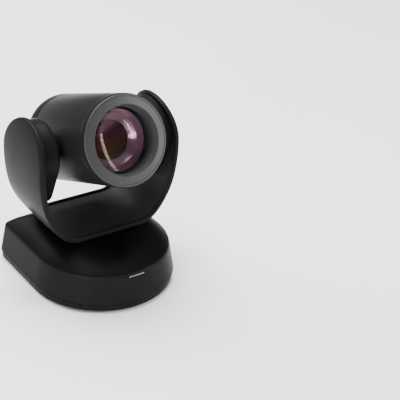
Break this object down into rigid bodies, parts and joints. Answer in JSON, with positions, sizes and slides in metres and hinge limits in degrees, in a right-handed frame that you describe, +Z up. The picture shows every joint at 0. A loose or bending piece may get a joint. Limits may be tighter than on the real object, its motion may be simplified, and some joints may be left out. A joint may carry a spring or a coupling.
{
  "type": "ptz camera",
  "caption": "Desktop pan, tilt and zoom conference camera: round lens barrel between the ears of a turning U-shaped yoke on a D-shaped base.",
  "frame": {"origin": "bottom centre of the whole camera's bounding box, on the table under the feet; the pan axis is 12.00 mm behind it", "axes": "+Z up, -Y towards the front (the lens), +X to the right as seen from in front"},
  "size_m": [0.1528, 0.159, 0.2036],
  "materials": {
    "charcoal_shell": "satin",
    "front_ring": "satin",
    "black_plastic": "matt",
    "rubber": "matt",
    "steel": "brushed",
    "brass": "turned",
    "circuit_board": "satin solder mask",
    "indicator": "glossy",
    "aluminium": "machined",
    "glass": "coated and polished"
  },
  "bodies": {
    "base": {"base_cover": "charcoal_shell", "indicator_window": "indicator", "base_plate": "black_plastic", "tripod_insert": "brass", "foot_front_left": "rubber", "foot_front_right": "rubber", "foot_rear_left": "rubber", "foot_rear_right": "rubber", "base_screw_1": "steel", "base_screw_2": "steel", "base_screw_3": "steel", "base_screw_4": "steel", "ballast_weight": "steel", "pan_chassis": "steel", "pan_bearing": "steel", "pan_motor": "steel", "pan_belt": "rubber", "main_board": "circuit_board", "io_panel": "black_plastic", "power_inlet": "black_plastic", "usb_port": "black_plastic", "speaker_port": "black_plastic", "lan_port": "black_plastic"},
    "pan_drive": {"pan_motor_pulley": "aluminium"},
    "yoke": {"yoke_shell": "charcoal_shell", "yoke_inner_trim": "charcoal_shell", "ear_housing_left": "charcoal_shell", "ear_housing_right": "charcoal_shell", "tilt_bearing_left": "steel", "tilt_bearing_right": "steel", "pan_hub": "black_plastic", "pan_pulley": "aluminium", "tilt_motor": "steel", "tilt_belt": "rubber"},
    "tilt_drive": {"tilt_motor_pulley": "aluminium"},
    "head": {"head_barrel": "charcoal_shell", "head_rear_cap": "charcoal_shell", "front_ring": "front_ring", "lens_hood": "black_plastic", "front_lens": "glass", "lens_tube": "black_plastic", "front_group_cell": "black_plastic", "inner_lens": "glass", "lens_bracket": "steel", "guide_rod_left": "steel", "guide_rod_right": "steel", "zoom_motor": "steel", "focus_motor": "steel", "sensor_board": "circuit_board", "heat_sink": "aluminium", "tilt_shaft_left": "steel", "tilt_shaft_right": "steel", "tilt_pulley": "aluminium"},
    "zoom_group": {"zoom_carriage": "black_plastic", "zoom_lens": "glass"},
    "focus_group": {"focus_carriage": "black_plastic", "focus_lens": "glass"},
    "zoom_screw": {"zoom_screw": "steel"},
    "focus_screw": {"focus_screw": "steel"},
    "ir_filter": {"ir_cut_filter": "black_plastic"}
  },
  "joints": [
    {"name": "pan", "type": "hinge", "parent": "base", "child": "yoke", "pos_m": [0, 0.012, 0.05], "axis": [0, 0, 1], "range_deg": [-130, 130]},
    {"name": "tilt", "type": "hinge", "parent": "yoke", "child": "head", "pos_m": [0, 0.012, 0.14], "axis": [-1, 0, 0], "range_deg": [-47, 68]},
    {"name": "pan_motor_spin", "type": "hinge", "parent": "base", "child": "pan_drive", "pos_m": [0, -0.034, 0.022], "axis": [0, 0, 1], "range_deg": [-400, 400]},
    {"name": "tilt_motor_spin", "type": "hinge", "parent": "yoke", "child": "tilt_drive", "pos_m": [0.0637, 0.012, 0.106], "axis": [-1, 0, 0], "range_deg": [-145, 210]},
    {"name": "zoom_slide", "type": "slide", "parent": "head", "child": "zoom_group", "axis": [0, 0.9272, -0.3746], "range_m": [0, 0.02]},
    {"name": "focus_slide", "type": "slide", "parent": "head", "child": "focus_group", "axis": [0, 0.9272, -0.3746], "range_m": [0, 0.006]},
    {"name": "zoom_screw_spin", "type": "hinge", "parent": "head", "child": "zoom_screw", "pos_m": [0, -0.00711, 0.17145], "axis": [0, 0.9272, -0.3746], "range_deg": [-10, 910]},
    {"name": "focus_screw_spin", "type": "hinge", "parent": "head", "child": "focus_screw", "pos_m": [0, -0.0236, 0.13065], "axis": [0, 0.9272, -0.3746], "range_deg": [-10, 280]},
    {"name": "ir_filter_slide", "type": "slide", "parent": "head", "child": "ir_filter", "axis": [1, 0, 0], "range_m": [0, 0.0105]}
  ],
  "couplings": [
    {"joint": "pan_motor_spin", "follows": "pan", "ratio": 3},
    {"joint": "tilt_motor_spin", "follows": "tilt", "ratio": 3},
    {"joint": "zoom_screw_spin", "follows": "zoom_slide", "rad_per_m": 785.4},
    {"joint": "focus_screw_spin", "follows": "focus_slide", "rad_per_m": 785.4}
  ]
}
